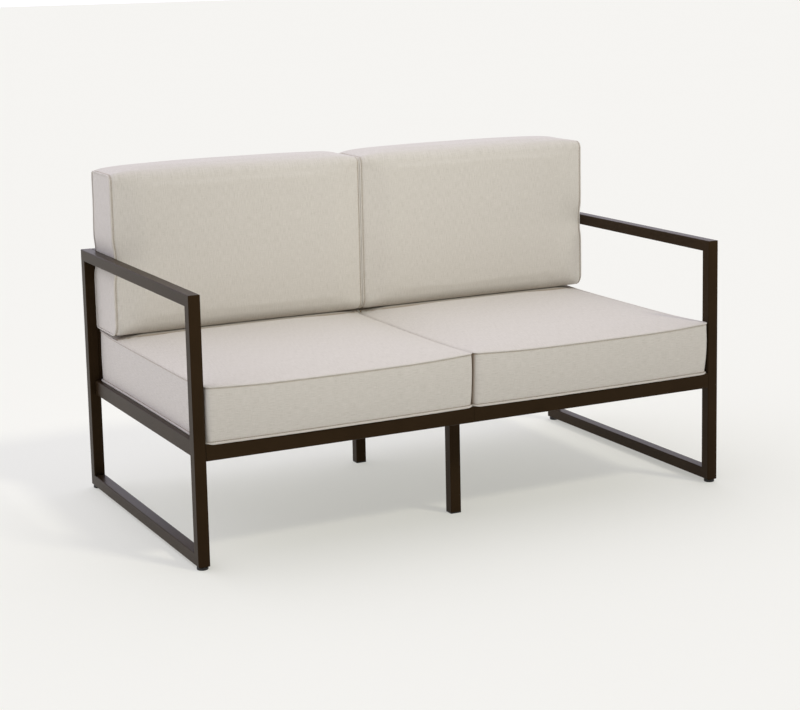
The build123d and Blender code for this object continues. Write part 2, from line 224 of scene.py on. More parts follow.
def rounded_sides(corners, radii, steps, pull):
    """The four sides of a rounded outline, each from the middle of one corner's arc to the next."""
    sides = []
    for k in range(4):
        a, b = corners[k], corners[(k + 1) % 4]
        run = (b - a).normalized()
        back = (corners[k - 1] - a).normalized()
        ahead = (corners[(k + 2) % 4] - b).normalized()
        path = []
        for i in range(ARC_STEPS + 1):
            turn = radians(lerp(45, 90, i / ARC_STEPS))
            centre = a + (run + back) * radii[k]
            path.append(centre - run * radii[k] * cos(turn) - back * radii[k] * sin(turn))
        start, radius = path[-1], radii[(k + 1) % 4]
        end = b - run * radius
        path += [start.lerp(end, i / RUN_STEPS) for i in range(1, RUN_STEPS)]
        for i in range(ARC_STEPS + 1):
            turn = radians(lerp(0, 45, i / ARC_STEPS))
            centre = b + (ahead - run) * radius
            path.append(centre - ahead * radius * cos(turn) + run * radius * sin(turn))
        sides.append(resampled(path, steps[k % 2], pull))
    return sides


def patch_points(sides):
    """A grid of points inside four sides, which keeps their spacing."""
    across, along = len(sides[0]) - 1, len(sides[1]) - 1
    low, right, high, left = sides
    grid = {}
    for i in range(across + 1):
        for j in range(along + 1):
            u, v = i / across, j / along
            edges = (low[i].lerp(high[across - i], v) + left[along - j].lerp(right[j], u))
            corners = low[0].lerp(low[across], u).lerp(high[across].lerp(high[0], u), v)
            grid[i, j] = edges - corners
    return grid


class BoxedCover:
    """A closed cover sewn from two end panels and a band, with a seam round each end panel.

    place(q, n, share, on_band) gives the cover's point at place q of the outline, with the
    outward direction n, at a share of the way from the low panel to the high one."""

    def __init__(self, sides, rows, place):
        self.across, self.along = len(sides[0]) - 1, len(sides[1]) - 1
        ring = [p for side in sides for p in side[:-1]]
        count = len(ring)
        directions = []
        for k in range(count):
            run = (ring[(k + 1) % count] - ring[k - 1]).normalized()
            directions.append(Vector((run.y, -run.x)))
        self.directions = directions
        grid = patch_points(sides)
        self.points, self.faces, self.panels = [], [], []
        for row in range(rows + 1):
            share = eased(row / rows, BAND_PULL)
            for q, n in zip(ring, directions):
                self.points.append(place(q, n, share, True))
        self.low_seam = list(range(count))
        self.high_seam = list(range(rows * count, (rows + 1) * count))
        lengths = added_lengths(ring + ring[:1])
        depth = (self.points[self.high_seam[0]] - self.points[0]).length
        for row in range(rows):
            low, high = (depth * eased(r / rows, BAND_PULL) for r in (row, row + 1))
            for k in range(count):
                after = (k + 1) % count
                self.faces.append([row * count + k, row * count + after,
                                   (row + 1) * count + after, (row + 1) * count + k])
                self.panels += [(low, lengths[k]), (low, lengths[k + 1]),
                                (high, lengths[k + 1]), (high, lengths[k])]
        self.low_grid = self.add_panel(grid, 0.0, place, self.low_seam)
        self.high_grid = self.add_panel(grid, 1.0, place, self.high_seam)

    def row(self, number):
        """The points of one row round the band."""
        count = len(self.low_seam)
        return list(range(number * count, (number + 1) * count))

    def seam_place(self, i, j):
        """Where a grid point lies on the seam's ring, or None inside the panel."""
        across, along = self.across, self.along
        if j == 0:
            return i
        if i == across:
            return across + j
        if j == along:
            return across + along + across - i
        if i == 0:
            return 2 * across + along + along - j
        return None

    def add_panel(self, grid, share, place, seam):
        """Adds an end panel, whose rim is the seam's own points, and returns its points' numbers."""
        numbers = {}
        for (i, j), q in grid.items():
            k = self.seam_place(i, j)
            if k is None:
                numbers[i, j] = len(self.points)
                self.points.append(place(q, None, share, False))
            else:
                numbers[i, j] = seam[k % len(seam)]
        for i in range(self.across):
            for j in range(self.along):
                corners = [(i, j), (i + 1, j), (i + 1, j + 1), (i, j + 1)]
                if share == 0.0:
                    corners.reverse()
                self.faces.append([numbers[c] for c in corners])
                self.panels += [tuple(grid[c]) for c in corners]
        return numbers


def swept_tube(path, directions, radius, sides, swell, pitch):
    """A closed tube round a closed path. Its surface ripples by swell where the bias strip gathers."""
    count = len(path)
    points, faces, panels = [], [], []
    lengths = added_lengths(path + path[:1])
    for k in range(count):
        run = (path[(k + 1) % count] - path[k - 1]).normalized()
        out = (directions[k] - run * directions[k].dot(run)).normalized()
        over = run.cross(out)
        for s in range(sides):
            turn = 2 * pi * s / sides
            ripple = 1 + swell * noise.noise(Vector((lengths[k] / pitch, cos(turn), sin(turn))))
            points.append(path[k] + (out * cos(turn) + over * sin(turn)) * radius * ripple)
    for k in range(count):
        after = (k + 1) % count
        for s in range(sides):
            t = (s + 1) % sides
            faces.append([k * sides + s, after * sides + s, after * sides + t, k * sides + t])
            low, high = (2 * pi * radius * n / sides for n in (s, s + 1))
            panels += [(low, lengths[k]), (low, lengths[k + 1]),
                       (high, lengths[k + 1]), (high, lengths[k])]
    return points, faces, panels


def finer(path, parts):
    """More points on a closed path, on a smooth curve through the given ones."""
    count = len(path)
    result = []
    for k in range(count):
        a, b, c, d = (path[(k + n) % count] for n in (-1, 0, 1, 2))
        for part in range(parts):
            t = part / parts
            result.append(0.5 * (2 * b + (c - a) * t + (2 * a - 5 * b + 4 * c - d) * t ** 2
                                 + (3 * b - a - 3 * c + d) * t ** 3))
    return result


# Node helper


def add_node(tree, kind, settings=None, **links):
    """Adds a shader node with its settings. Each link feeds one input, named or numbered as _0,
    with a value or with another node's output."""
    node = tree.nodes.new(kind)
    for name, value in (settings or {}).items():
        setattr(node, name, value)
    for name, value in links.items():
        socket = node.inputs[int(name[1:])] if name[0] == "_" else node.inputs[name.replace("_", " ")]
        if isinstance(value, bpy.types.NodeSocket):
            tree.links.new(value, socket)
        else:
            socket.default_value = value
    return node


def new_material(name):
    """A material with an empty node tree, a Principled shader and its output."""
    material = bpy.data.materials.new(name)
    material.use_nodes = True
    tree = material.node_tree
    tree.nodes.clear()
    shader = tree.nodes.new("ShaderNodeBsdfPrincipled")
    output = tree.nodes.new("ShaderNodeOutputMaterial")
    tree.links.new(shader.outputs["BSDF"], output.inputs["Surface"])
    return material, tree, shader


# Materials

# How sharply the painted shade of seams and folds narrows towards its middle
PAINTED_SHADE_POWER = 4.5
STRAND_SIZE = (0.7 * MM, 1.1 * MM)


def coated_steel(settings):
    """Mild steel tube with a satin polyester powder coat, sprayed on and baked.
    The cured powder flows into a faint orange peel, so its highlights are soft and slightly broken."""
    material, tree, shader = new_material("powder_coated_steel")
    place = add_node(tree, "ShaderNodeTexCoord").outputs["Object"]
    peel = add_node(tree, "ShaderNodeTexNoise", Vector=place, Scale=1 / settings.coat_grain,
                    Detail=2.0, Roughness=0.5)
    cloud = add_node(tree, "ShaderNodeTexNoise", Vector=place, Scale=1 / (90 * MM),
                     Detail=3.0, Roughness=0.6)
    shade = add_node(tree, "ShaderNodeMapRange", Value=cloud.outputs["Fac"],
                     From_Min=0.3, From_Max=0.7, To_Min=0.9, To_Max=1.1)
    tint = add_node(tree, "ShaderNodeVectorMath", {"operation": "SCALE"},
                    _0=settings.coat[:3], Scale=shade.outputs["Result"])
    gloss = add_node(tree, "ShaderNodeMapRange", Value=peel.outputs["Fac"], From_Min=0.3, From_Max=0.7,
                     To_Min=settings.coat_roughness - 0.05, To_Max=settings.coat_roughness + 0.06)
    bump = add_node(tree, "ShaderNodeBump", Height=peel.outputs["Fac"],
                    Strength=0.12, Distance=0.15 * MM)
    tree.links.new(tint.outputs["Vector"], shader.inputs["Base Color"])
    tree.links.new(gloss.outputs["Result"], shader.inputs["Roughness"])
    tree.links.new(bump.outputs["Normal"], shader.inputs["Normal"])
    shader.inputs["IOR"].default_value = 1.5
    shader.inputs["Specular IOR Level"].default_value = 0.1
    shader.inputs["Specular Tint"].default_value = settings.coat_tint
    return material


def woven_canvas(settings):
    """Solution-dyed acrylic canvas in a plain weave with slub yarn, woven and not printed.
    The slubs give it fine streaks along the warp, and its loose fibres a soft sheen at the edges.
    The real threads are about 0.5 mm apart, which is too fine to show, so they are drawn at about
    twice that."""
    material, tree, shader = new_material("woven_canvas")
    panel = add_node(tree, "ShaderNodeUVMap", {"uv_map": "panel"}).outputs["UV"]
    slub_scale = (1 / settings.slub_width, 1 / settings.slub_length, 1.0)
    slub_place = add_node(tree, "ShaderNodeMapping", Vector=panel, Scale=slub_scale)
    slub = add_node(tree, "ShaderNodeTexNoise", {"noise_dimensions": "2D"},
                    Vector=slub_place.outputs["Vector"], Scale=1.0, Detail=2.0, Roughness=0.6)
    cross_scale = (1 / settings.slub_length, 1 / settings.slub_width, 1.0)
    cross_place = add_node(tree, "ShaderNodeMapping", Vector=panel, Scale=cross_scale)
    cross = add_node(tree, "ShaderNodeTexNoise", {"noise_dimensions": "2D"},
                     Vector=cross_place.outputs["Vector"], Scale=1.0, Detail=2.0, Roughness=0.6)
    yarns = add_node(tree, "ShaderNodeMix", {"data_type": "FLOAT"}, _0=0.32,
                     _2=slub.outputs["Fac"], _3=cross.outputs["Fac"])
    split = add_node(tree, "ShaderNodeSeparateXYZ", Vector=panel)
    turns = 2 * pi / settings.thread_pitch
    warp_turn = add_node(tree, "ShaderNodeMath", {"operation": "MULTIPLY"},
                         _0=split.outputs["X"], _1=turns)
    weft_turn = add_node(tree, "ShaderNodeMath", {"operation": "MULTIPLY"},
                         _0=split.outputs["Y"], _1=turns)
    warp = add_node(tree, "ShaderNodeMath", {"operation": "SINE"}, _0=warp_turn.outputs[0])
    weft = add_node(tree, "ShaderNodeMath", {"operation": "SINE"}, _0=weft_turn.outputs[0])
    weave = add_node(tree, "ShaderNodeMath", {"operation": "MULTIPLY"},
                     _0=warp.outputs[0], _1=weft.outputs[0])
    height = add_node(tree, "ShaderNodeMath", {"operation": "MULTIPLY_ADD"},
                      _0=weave.outputs[0], _1=0.12, _2=yarns.outputs[0])
    tone = add_node(tree, "ShaderNodeValToRGB", Fac=height.outputs[0])
    ramp = tone.color_ramp
    ramp.elements[0].position = 0.16
    ramp.elements[0].color = settings.dark_yarn
    ramp.elements[1].position = 0.86
    ramp.elements[1].color = settings.pale_yarn
    middle = ramp.elements.new(0.5)
    middle.color = settings.yarn
    # Painted shade: the seam attribute mixes the seam shade colour into the cloth, as the shade in
    # seams, between the cushions and under the back cushions
    painted_shade_mask = add_node(tree, "ShaderNodeAttribute", {"attribute_name": "seam"})
    narrow = add_node(tree, "ShaderNodeMath", {"operation": "POWER"},
                      _0=painted_shade_mask.outputs["Fac"], _1=PAINTED_SHADE_POWER)
    shaded = add_node(tree, "ShaderNodeMix", {"data_type": "RGBA"}, _0=narrow.outputs[0],
                      _6=tone.outputs["Color"], _7=settings.painted_seam_shade)
    bump = add_node(tree, "ShaderNodeBump", Height=height.outputs[0],
                    Strength=0.25, Distance=0.2 * MM)
    tree.links.new(shaded.outputs[2], shader.inputs["Base Color"])
    tree.links.new(bump.outputs["Normal"], shader.inputs["Normal"])
    shader.inputs["Roughness"].default_value = 0.92
    shader.inputs["IOR"].default_value = 1.45
    shader.inputs["Specular IOR Level"].default_value = 0.25
    shader.inputs["Sheen Weight"].default_value = 0.12
    shader.inputs["Sheen Roughness"].default_value = 0.5
    return material


def twisted_thread(name, colour):
    """Bonded polyester thread of three twisted strands. Slanting bands of painted light and shade
    stand for the twist of the strands.
    """
    material, tree, shader = new_material(name)
    panel = add_node(tree, "ShaderNodeUVMap", {"uv_map": "panel"}).outputs["UV"]
    strands = add_node(tree, "ShaderNodeMapping", Vector=panel,
                       Scale=(1 / STRAND_SIZE[0], 1 / STRAND_SIZE[1], 1.0))
    # Painted light and shade: slanting bands that stand for the strands' twist
    painted_twist_shade = add_node(tree, "ShaderNodeTexWave", {"bands_direction": "DIAGONAL"},
                     Vector=strands.outputs["Vector"], Scale=1.0)
    shade = add_node(tree, "ShaderNodeMapRange", Value=painted_twist_shade.outputs["Fac"],
                     To_Min=0.75, To_Max=1.1)
    tint = add_node(tree, "ShaderNodeVectorMath", {"operation": "SCALE"},
                    _0=colour[:3], Scale=shade.outputs["Result"])
    tree.links.new(tint.outputs["Vector"], shader.inputs["Base Color"])
    shader.inputs["Roughness"].default_value = 0.6
    shader.inputs["IOR"].default_value = 1.5
    return material


def moulded_plastic(name, colour, grain, roughness):
    """Plastic moulded in a spark-eroded tool. The tool's fine grain dulls its highlights."""
    material, tree, shader = new_material(name)
    place = add_node(tree, "ShaderNodeTexCoord").outputs["Object"]
    pits = add_node(tree, "ShaderNodeTexNoise", Vector=place, Scale=1 / grain,
                    Detail=3.0, Roughness=0.7)
    shade = add_node(tree, "ShaderNodeMapRange", Value=pits.outputs["Fac"], From_Min=0.3, From_Max=0.7,
                     To_Min=0.85, To_Max=1.15)
    tint = add_node(tree, "ShaderNodeVectorMath", {"operation": "SCALE"},
                    _0=linear(colour)[:3], Scale=shade.outputs["Result"])
    bump = add_node(tree, "ShaderNodeBump", Height=pits.outputs["Fac"],
                    Strength=0.3, Distance=0.1 * MM)
    gloss = add_node(tree, "ShaderNodeMapRange", Value=pits.outputs["Fac"], From_Min=0.3, From_Max=0.7,
                     To_Min=roughness - 0.06, To_Max=roughness + 0.06)
    tree.links.new(tint.outputs["Vector"], shader.inputs["Base Color"])
    tree.links.new(gloss.outputs["Result"], shader.inputs["Roughness"])
    tree.links.new(bump.outputs["Normal"], shader.inputs["Normal"])
    shader.inputs["IOR"].default_value = 1.5
    return material


def zinc_plated_steel():
    """Cold-headed steel with bright electroplated zinc. The plating is milky and slightly mottled."""
    material, tree, shader = new_material("zinc_plated_steel")
    place = add_node(tree, "ShaderNodeTexCoord").outputs["Object"]
    bloom = add_node(tree, "ShaderNodeTexNoise", Vector=place, Scale=1 / (4 * MM),
                     Detail=4.0, Roughness=0.6)
    tone = add_node(tree, "ShaderNodeValToRGB", Fac=bloom.outputs["Fac"])
    tone.color_ramp.elements[0].position = 0.3
    tone.color_ramp.elements[0].color = linear("#A9A9A6")
    tone.color_ramp.elements[1].position = 0.7
    tone.color_ramp.elements[1].color = linear("#C9C8C2")
    gloss = add_node(tree, "ShaderNodeMapRange", Value=bloom.outputs["Fac"],
                     From_Min=0.3, From_Max=0.7, To_Min=0.28, To_Max=0.42)
    tree.links.new(tone.outputs["Color"], shader.inputs["Base Color"])
    tree.links.new(gloss.outputs["Result"], shader.inputs["Roughness"])
    shader.inputs["Metallic"].default_value = 1.0
    return material


def cut_foam():
    """Polyurethane foam, blown and cut with a wire. Its open cells leave a matt, pitted face."""
    material, tree, shader = new_material("cut_foam")
    place = add_node(tree, "ShaderNodeTexCoord").outputs["Object"]
    cells = add_node(tree, "ShaderNodeTexVoronoi", Vector=place, Scale=1 / (1.5 * MM))
    tone = add_node(tree, "ShaderNodeValToRGB", Fac=cells.outputs["Distance"])
    tone.color_ramp.elements[0].color = linear("#C9B98C")
    tone.color_ramp.elements[1].color = linear("#EADFBE")
    bump = add_node(tree, "ShaderNodeBump", Height=cells.outputs["Distance"],
                    Strength=0.5, Distance=0.5 * MM)
    tree.links.new(tone.outputs["Color"], shader.inputs["Base Color"])
    tree.links.new(bump.outputs["Normal"], shader.inputs["Normal"])
    shader.inputs["Roughness"].default_value = 0.95
    return material


def studio_floor(settings):
    """Painted studio floor, rolled matt, so that it shows only soft shadows."""
    material, tree, shader = new_material("painted_floor")
    place = add_node(tree, "ShaderNodeTexCoord").outputs["Object"]
    cloud = add_node(tree, "ShaderNodeTexNoise", Vector=place, Scale=0.6, Detail=2.0)
    shade = add_node(tree, "ShaderNodeMapRange", Value=cloud.outputs["Fac"],
                     To_Min=0.995, To_Max=1.005)
    tint = add_node(tree, "ShaderNodeVectorMath", {"operation": "SCALE"},
                    _0=settings.floor[:3], Scale=shade.outputs["Result"])
    tree.links.new(tint.outputs["Vector"], shader.inputs["Base Color"])
    shader.inputs["Emission Color"].default_value = settings.floor_glow
    shader.inputs["Emission Strength"].default_value = 1.0
    shader.inputs["Roughness"].default_value = 1.0
    shader.inputs["Specular IOR Level"].default_value = 0.0
    return material


# Stage: floor, light and camera. Angles are in degrees

KEY_COLOUR = "#FFFAEC"
KEY_SPREAD = 9
KEY_AZIMUTH = 31
KEY_HEIGHT = 48
KEY_PASSES = "right_arm_rail"
BOX_COLOUR = "#FDFFF6"
BOX_SIZE = (1.9, 0.6)
BOX_GRID = 60
BOX_PLACE = (0.25, -1.5, 1.55)
BOX_AIM = (0.0, 0.2, 0.62)
SKY_AXIS = (-0.2, 0.98, 0.35)
SKY_DIM = -0.6
SKY_BRIGHT = 0.7
CAMERA_PLACE = (-2054.7 * MM, -4139.1 * MM, 1332.6 * MM)
CAMERA_YAW = -26.491
CAMERA_PITCH = 9.170
CAMERA_ROLL = -1.220
CAMERA_LENS = 83.47
CAMERA_SHIFT = -0.12
SENSOR_WIDTH = 36.0
FLOOR_REACH = 60.0


def studio_light(settings):
    """Soft light from all round: a bright wall behind the sofa, and a dim room in front of it."""
    world = bpy.data.worlds.new("studio")
    world.use_nodes = True
    tree = world.node_tree
    towards = add_node(tree, "ShaderNodeTexCoord").outputs["Generated"]
    depth = add_node(tree, "ShaderNodeVectorMath", {"operation": "DOT_PRODUCT"},
                     _0=towards, _1=SKY_AXIS)
    share = add_node(tree, "ShaderNodeMapRange", Value=depth.outputs["Value"],
                     From_Min=SKY_DIM, From_Max=SKY_BRIGHT)
    colour = add_node(tree, "ShaderNodeMix", {"data_type": "RGBA"}, _0=share.outputs["Result"],
                      _6=settings.front_sky, _7=settings.rear_sky)
    sky = tree.nodes["Background"]
    sky.inputs["Strength"].default_value = settings.sky_strength
    tree.links.new(colour.outputs[2], sky.inputs["Color"])
    return world


def aim_camera():
    """Makes the camera at the photograph's place and angle."""
    yaw, pitch, roll = (radians(a) for a in (CAMERA_YAW, CAMERA_PITCH, CAMERA_ROLL))
    right = Vector((cos(yaw), sin(yaw), 0))
    level = Vector((-sin(yaw), cos(yaw), 0))
    up = Vector((0, 0, 1))
    forward = level * cos(pitch) - up * sin(pitch)
    tilted = up * cos(pitch) + level * sin(pitch)
    rolled_right = right * cos(roll) + tilted * sin(roll)
    rolled_up = tilted * cos(roll) - right * sin(roll)
    turn = Matrix((rolled_right, rolled_up, -forward)).transposed().to_4x4()
    data = bpy.data.cameras.new("camera")
    data.sensor_width = SENSOR_WIDTH
    data.lens = CAMERA_LENS
    data.shift_y = CAMERA_SHIFT
    data.clip_end = 4 * FLOOR_REACH
    camera = bpy.data.objects.new("camera", data)
    camera.matrix_world = Matrix.Translation(CAMERA_PLACE) @ turn
    bpy.context.scene.collection.objects.link(camera)
    bpy.context.scene.camera = camera


def add_sun(name, strength, spread, azimuth, height, colour):
    """A sun, at an azimuth from the front round to the right and a height above the floor."""
    data = bpy.data.lights.new(name, "SUN")
    data.energy = strength
    data.angle = radians(spread)
    data.color = colour[:3]
    light = bpy.data.objects.new(name, data)
    a, h = radians(azimuth), radians(height)
    towards = Vector((sin(a) * cos(h), -cos(a) * cos(h), sin(h)))
    light.rotation_euler = towards.to_track_quat("Z", "Y").to_euler()
    bpy.context.scene.collection.objects.link(light)
    return light


def left_out(name, piece):
    """A collection that leaves one piece out of a light's work, on its receivers or its blockers."""
    flag = bpy.data.collections.new(name)
    flag.objects.link(piece)
    flag.collection_objects[0].light_linking.link_state = "EXCLUDE"
    return flag


def add_softbox(power, colour):
    """A long softbox with a grid, hung in front of the sofa and aimed at the back cushions."""
    data = bpy.data.lights.new("softbox", "AREA")
    data.shape = "RECTANGLE"
    data.size, data.size_y = BOX_SIZE
    data.spread = radians(BOX_GRID)
    data.energy = power
    data.color = colour[:3]
    light = bpy.data.objects.new("softbox", data)
    light.location = BOX_PLACE
    light.rotation_euler = (Vector(BOX_PLACE) - Vector(BOX_AIM)).to_track_quat("Z", "Y").to_euler()
    bpy.context.scene.collection.objects.link(light)
    return light


class SOFA_OT_stage(bpy.types.Operator):
    """Make the floor, the soft studio light and the camera"""
    bl_idname = "garden_sofa.stage"
    bl_label = "Stage"

    def execute(self, context):
        settings = context.scene.garden_sofa_stage
        mesh = bpy.data.meshes.new("floor")
        corners = [(x * FLOOR_REACH, y * FLOOR_REACH, 0)
                   for x, y in ((-1, -1), (1, -1), (1, 1), (-1, 1))]
        mesh.from_pydata(corners, [], [(0, 1, 2, 3)])
        mesh.materials.append(studio_floor(settings))
        floor = bpy.data.objects.new("floor", mesh)
        context.scene.collection.objects.link(floor)
        context.scene.world = studio_light(settings)
        key = add_sun("key", settings.key_strength, KEY_SPREAD, KEY_AZIMUTH, KEY_HEIGHT,
                      linear(KEY_COLOUR))
        # The photograph shows no shadow of this rail on the cushions
        key.light_linking.blocker_collection = left_out("no_key_shadow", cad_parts[KEY_PASSES])
        box = add_softbox(settings.box_strength, linear(BOX_COLOUR))
        box.light_linking.receiver_collection = left_out("off_floor", floor)
        context.scene.view_settings.view_transform = "Standard"
        aim_camera()
        return {"FINISHED"}


# Frame: the tubes, legs, feet and fasteners keep their own shapes and get their finish

PLASTIC_NODES = [side + "_" + end + "_foot_pad" for side in SIDES for end in ENDS]
CAP_NODES = [end + "_centre_leg_cap" for end in ENDS]
STEEL_NODES = ["frame_bolts", "washers", "rivet_nuts", "centre_bolts", "centre_nuts", "leg_screws",
               "back_panel_screws", "foot_inserts"]
STEEL_NODES += [side + "_" + end + "_foot_stud" for side in SIDES for end in ENDS]
SOFT_NODES = [side + "_" + place + "_cushion_" + layer
              for side in SIDES for place in ("seat", "back") for layer in ("cover", "core")]


def finish_nodes(names, material):
    """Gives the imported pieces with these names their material."""
    for name in names:
        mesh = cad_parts[name].data
        mesh.materials.clear()
        mesh.materials.append(material)


class SOFA_OT_frame(bpy.types.Operator):
    """Coat the tubes of the side frames, seat frame, back panels and centre legs"""
    bl_idname = "garden_sofa.frame"
    bl_label = "Tube Frame"

    def execute(self, context):
        others = set(PLASTIC_NODES + CAP_NODES + STEEL_NODES + SOFT_NODES)
        tubes = [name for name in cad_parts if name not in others]
        finish_nodes(tubes, coated_steel(context.scene.garden_sofa_frame))
        return {"FINISHED"}


class SOFA_OT_fittings(bpy.types.Operator):
    """Finish the feet, leg caps, bolts, nuts and screws"""
    bl_idname = "garden_sofa.fittings"
    bl_label = "Feet and Fasteners"

    def execute(self, context):
        finish_nodes(PLASTIC_NODES, moulded_plastic("moulded_nylon", "#1B1A19", 0.8 * MM, 0.5))
        finish_nodes(CAP_NODES, moulded_plastic("moulded_polyethylene", "#242220", 1.2 * MM, 0.58))
        finish_nodes(STEEL_NODES, zinc_plated_steel())
        finish_nodes([name for name in SOFT_NODES if name.endswith("core")], cut_foam())
        return {"FINISHED"}


# Cushions. Points crowd towards the corners of a seam by SEAM_PULL. The painted shade of seams and
# folds is 1 in a seam

SEAM_PULL = 0.45
SIM_FRAMES = 20
SIM_PRESSURE = 4.0
RELAX_ROUNDS = 8
# Painted shade: its strength on the sides where the cushions meet, and how deep into a fold it reaches
INNER_PAINTED_SHADE = 0.88
PAINTED_SHADE_DEPTH = 30 * MM
MIDDLE_GAP = 0.35 * MM
WELT_SIDES = 8
WELT_SWELL = 0.12
WELT_GATHER = 9 * MM
STITCH_PLACE = 0.6
CLOSING_PLACE = 0.2


def rise(distance, reach, power):
    """How full a cover is at a distance from its seam: 0 at the seam, and 1 from reach on."""
    return 1 - (1 - clamped(distance / reach)) ** power


def rounded_rise(distance, reach):
    """How full a cover is beside a tight seam: it leaves the seam squarely and rounds off at reach."""
    return sqrt(1 - (1 - clamped(distance / reach)) ** 2)


def bowed(share, power=2.0):
    """1 in the middle of a side and 0 at its two ends."""
    return 1 - abs(2 * clamped(share) - 1) ** power


def eased_in(share):
    """A share that starts and ends without a kink."""
    return share * share * (3 - 2 * share)


def painted_shade_fading(depth):
    """How much of the painted shade is left at a depth behind a fold's mouth."""
    return exp(-(max(depth, 0.0) / PAINTED_SHADE_DEPTH) ** 2)


def make_cover(name, cover, body, material, painted_shade):
    """The cover's mesh, with how much painted shade each point gets in its seam attribute: 1 in the
    seams.
    """
    piece = new_piece(name, cover.points, cover.faces, material, body, cover.panels)
    shade = piece.data.attributes.new("seam", "FLOAT", "POINT")
    values = [0.0] * len(cover.points)
    for number, value in painted_shade.items():
        values[number] = value
    for number in cover.low_seam + cover.high_seam:
        values[number] = 1.0
    shade.data.foreach_set("value", values)
    return piece


def relaxed(moves, edges, rounds):
    """Evens the moves out among neighbours, so that the filling leaves no crumples.
    Points that the filling didn't move stay where they are."""
    neighbours = [[] for _ in moves]
    for edge in edges:
        a, b = edge.vertices
        neighbours[a].append(b)
        neighbours[b].append(a)
    free = [move.length > 1e-6 for move in moves]
    for _ in range(rounds):
        moves = [moves[k] * 0.4 + sum((moves[n] for n in near), Vector()) * (0.6 / len(near))
                 if free[k] else moves[k] for k, near in enumerate(neighbours)]
    return moves


def fill_covers(pieces, covers, held, cap):
    """Blows the covers up with their seams held, and caps how far each point moves."""
    scene = bpy.context.scene
    scene.frame_start, scene.frame_end = 1, SIM_FRAMES
    rests = []
    for piece, cover, extra in zip(pieces, covers, held):
        rests.append([v.co.copy() for v in piece.data.vertices])
        group = piece.vertex_groups.new(name="held")
        group.add(sorted(set(cover.low_seam + cover.high_seam + extra)), 1.0, "REPLACE")
        cloth = piece.modifiers.new("filling", "CLOTH")
        cloth.settings.quality = 5
        cloth.settings.vertex_group_mass = "held"
        cloth.settings.use_pressure = True
        cloth.settings.uniform_pressure_force = SIM_PRESSURE
        cloth.settings.effector_weights.gravity = 0
        cloth.settings.tension_stiffness = 15
        cloth.settings.compression_stiffness = 15
        cloth.settings.bending_stiffness = 0.6
        cloth.collision_settings.use_collision = False
        cloth.point_cache.frame_start, cloth.point_cache.frame_end = 1, SIM_FRAMES
    for number in range(1, SIM_FRAMES + 1):
        scene.frame_set(number)
    graph = bpy.context.evaluated_depsgraph_get()
    for piece, rest in zip(pieces, rests):
        filled = [v.co.copy() for v in piece.evaluated_get(graph).data.vertices]
        piece.modifiers.remove(piece.modifiers["filling"])
        piece.vertex_groups.remove(piece.vertex_groups["held"])
        moves = []
        for start, end in zip(rest, filled):
            move = end - start
            if move.length > 0:
                move *= cap * tanh(move.length / cap) / move.length
            moves.append(move)
        moves = relaxed(moves, piece.data.edges, RELAX_ROUNDS)
        for vertex, start, move in zip(piece.data.vertices, rest, moves):
            vertex.co = start + move
        piece.data.update()
    scene.frame_set(1)


def limit_cover(piece, limit):
    """Keeps the filled cover off its neighbours: limit changes each point that lies too far out."""
    for vertex in piece.data.vertices:
        limit(vertex.co)
    piece.data.update()


def smooth_cover(piece):
    """Rounds the cover's grid off, so that no facet shows."""
    rounds = piece.modifiers.new("smooth", "SUBSURF")
    rounds.levels = 1
    rounds.render_levels = 1


def off_middle(point, body):
    """Keeps a point on its own cushion's side of the middle, where the two cushions press together."""
    x = min(point[0], -MIDDLE_GAP) if body.startswith("left") else max(point[0], MIDDLE_GAP)
    return (x, point[1], point[2])


def add_welt(name, piece, seam, outwards, radius, proud, body, material):
    """The covered cord that is sewn into a seam, half sunk between the panels."""
    path = [piece.data.vertices[k].co.copy() for k in seam]
    directions = [outwards(p) for p in path]
    path = [p + d * radius * proud for p, d in zip(path, directions)]
    path, directions = finer(path, 3), finer(directions, 3)
    points, faces, panels = swept_tube(path, directions, radius, WELT_SIDES, WELT_SWELL, WELT_GATHER)
    points = [off_middle(point, body) for point in points]
    new_piece(name, points, faces, material, body, panels)


STITCH_PITCH = 4.2 * MM
STITCH_LENGTH = 3.0 * MM
THREAD_RADIUS = 0.45 * MM
THREAD_RINGS = 5
THREAD_SIDES = 5


